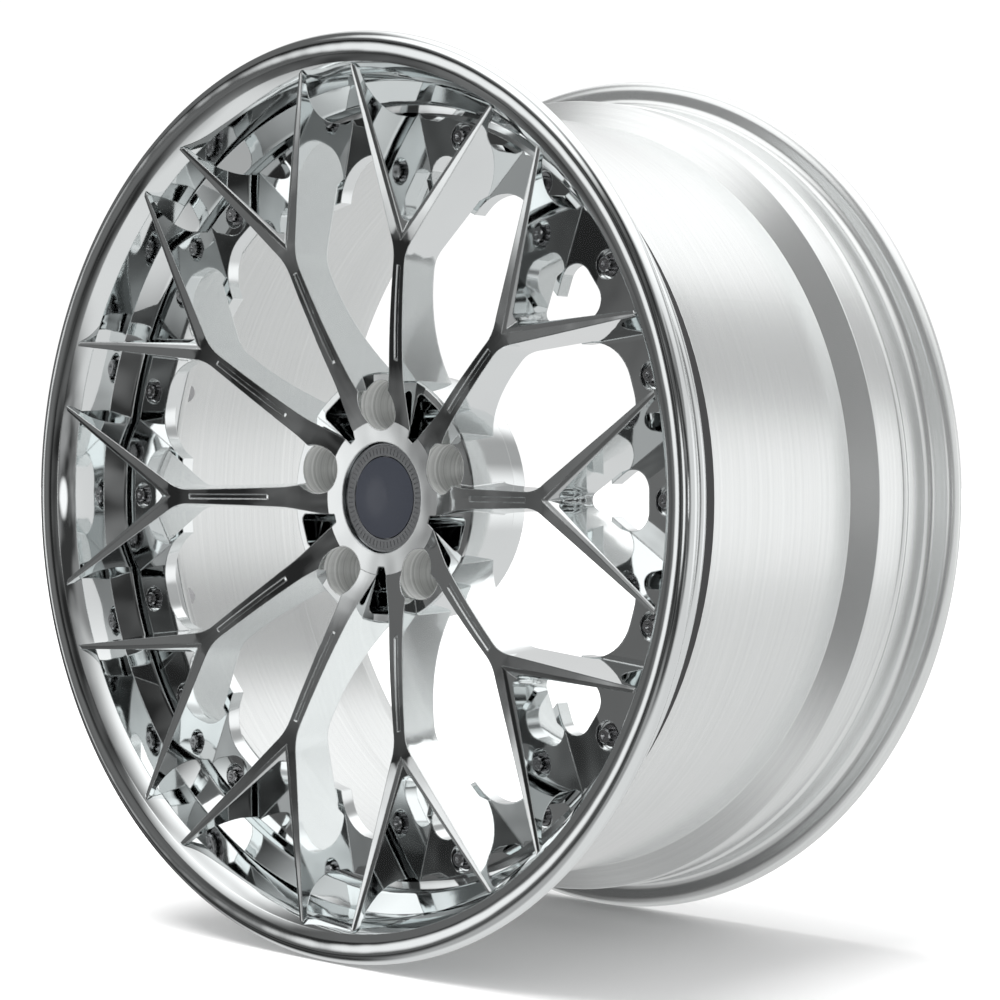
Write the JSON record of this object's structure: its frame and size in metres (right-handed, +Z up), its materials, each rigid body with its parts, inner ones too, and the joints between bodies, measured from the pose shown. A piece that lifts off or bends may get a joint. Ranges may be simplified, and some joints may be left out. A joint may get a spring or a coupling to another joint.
{
  "type": "forged racing wheel rim",
  "caption": "Three-piece forged racing wheel rim: a polished disc of forked spokes bolted between an outer lip and an inner barrel, with a pull-off centre cap and a radial valve.",
  "frame": {"origin": "centre of the wheel's bounding box, on the wheel axis half way between the two rim flanges", "axes": "+Y along the wheel axis towards the vehicle, the face looks towards -Y, +Z up through the valve"},
  "size_m": [0.5478, 0.2674, 0.5478],
  "materials": {
    "polished_lip": "mirror polished",
    "turned_barrel": "fine turned",
    "seal_black": "matte",
    "polished_disc": "mirror polished",
    "bolt_steel": "satin",
    "washer_steel": "satin",
    "nut_steel": "satin",
    "cap_paint": "satin",
    "bezel_graphite": "satin",
    "dome_gloss": "gloss",
    "o_ring_black": "matte",
    "stem_aluminium": "satin",
    "grommet_black": "matte",
    "core_brass": "satin",
    "spring_steel": "satin",
    "valve_cap_aluminium": "satin"
  },
  "bodies": {
    "wheel": {"outer_lip": "polished_lip", "inner_barrel": "turned_barrel", "barrel_seal": "seal_black", "centre_disc": "polished_disc", "assembly_bolts": "bolt_steel", "bolt_washers": "washer_steel", "nut_washers": "washer_steel", "assembly_nuts": "nut_steel", "valve_stem": "stem_aluminium", "valve_grommet": "grommet_black", "valve_washer": "stem_aluminium", "valve_nut": "stem_aluminium", "valve_core_body": "core_brass", "valve_core_spring": "spring_steel"},
    "hub_cap": {"cap_body": "cap_paint", "cap_bezel": "bezel_graphite", "cap_dome": "dome_gloss", "cap_o_ring": "o_ring_black"},
    "valve_cover": {"valve_cap": "valve_cap_aluminium", "valve_cap_seal": "o_ring_black"},
    "valve_pin": {"valve_core_pin": "core_brass", "valve_core_seal": "o_ring_black"}
  },
  "joints": [
    {"name": "cap_slide", "type": "slide", "parent": "wheel", "child": "hub_cap", "axis": [0, -1, 0], "range_m": [0, 0.02]},
    {"name": "valve_cap_slide", "type": "slide", "parent": "wheel", "child": "valve_cover", "axis": [0, 0, -1], "range_m": [0, 0.02]},
    {"name": "valve_pin_slide", "type": "slide", "parent": "wheel", "child": "valve_pin", "axis": [0, 0, 1], "range_m": [0, 0.0015], "stiffness_N_per_m": 800, "springref_m": -0.001, "deforming": ["valve_core_spring"]}
  ]
}
